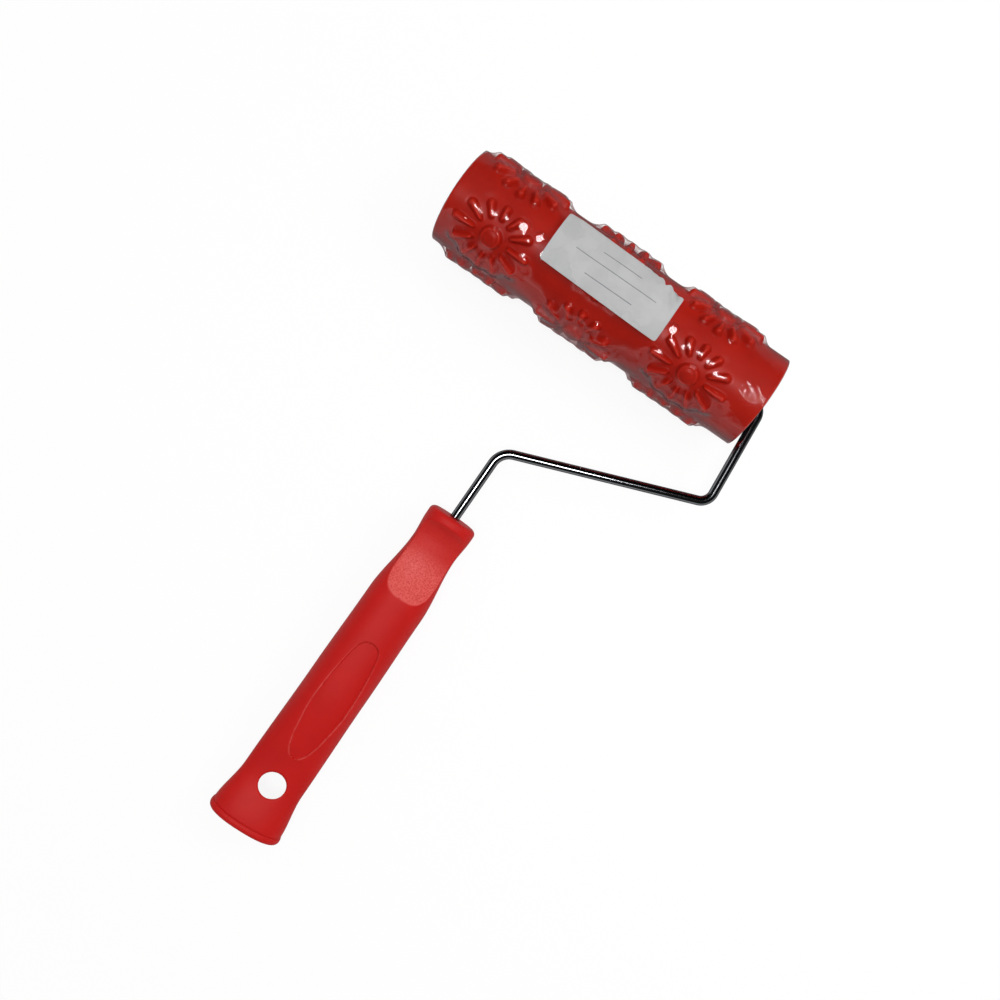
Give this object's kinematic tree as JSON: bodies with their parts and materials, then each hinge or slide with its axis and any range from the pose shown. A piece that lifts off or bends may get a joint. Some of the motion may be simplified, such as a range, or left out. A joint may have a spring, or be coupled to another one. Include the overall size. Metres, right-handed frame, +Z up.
{
  "type": "pattern paint roller",
  "caption": "Hand roller with a daisy-relief rubber sleeve turning on a bent wire frame, with a moulded handle with thumb hollow and hanging hole.",
  "frame": {"origin": "on the surface that the tool lies on, under the middle of the tool's box", "axes": "+Z up, +X along the roller's axle towards the end where the wire comes out, +Y from the handle towards the roller"},
  "size_m": [0.191, 0.3554, 0.0582],
  "materials": {
    "sleeve_rubber": "glossy moulded rubber with raised pattern",
    "core_plastic": "plain extruded tube",
    "cap_plastic": "satin moulded",
    "bush_nylon": "natural nylon",
    "label_paper": "soft white sticker paper, a little creased",
    "handle_plastic": "fine spark-eroded grain",
    "chromed_wire": "bright chrome",
    "zinc_steel": "zinc plated",
    "clear_film": "clear shrink film, visual model only"
  },
  "bodies": {
    "frame": {"handle_shell": "handle_plastic", "handle_end_cap": "handle_plastic", "tang_plug": "cap_plastic", "frame_rod": "chromed_wire", "thrust_washer_outer": "zinc_steel", "thrust_washer_inner": "zinc_steel", "stop_collar": "zinc_steel", "push_nut": "zinc_steel"},
    "roller": {"patterned_sleeve": "sleeve_rubber", "core_tube": "core_plastic", "end_cap_outer": "cap_plastic", "end_cap_inner": "cap_plastic", "bush_outer": "bush_nylon", "bush_inner": "bush_nylon", "label": "label_paper"}
  },
  "joints": [
    {"name": "roller_spin", "type": "hinge", "parent": "frame", "child": "roller", "pos_m": [-0.00549, 0.14894, 0.0288], "axis": [1, 0, 0], "continuous": true}
  ]
}
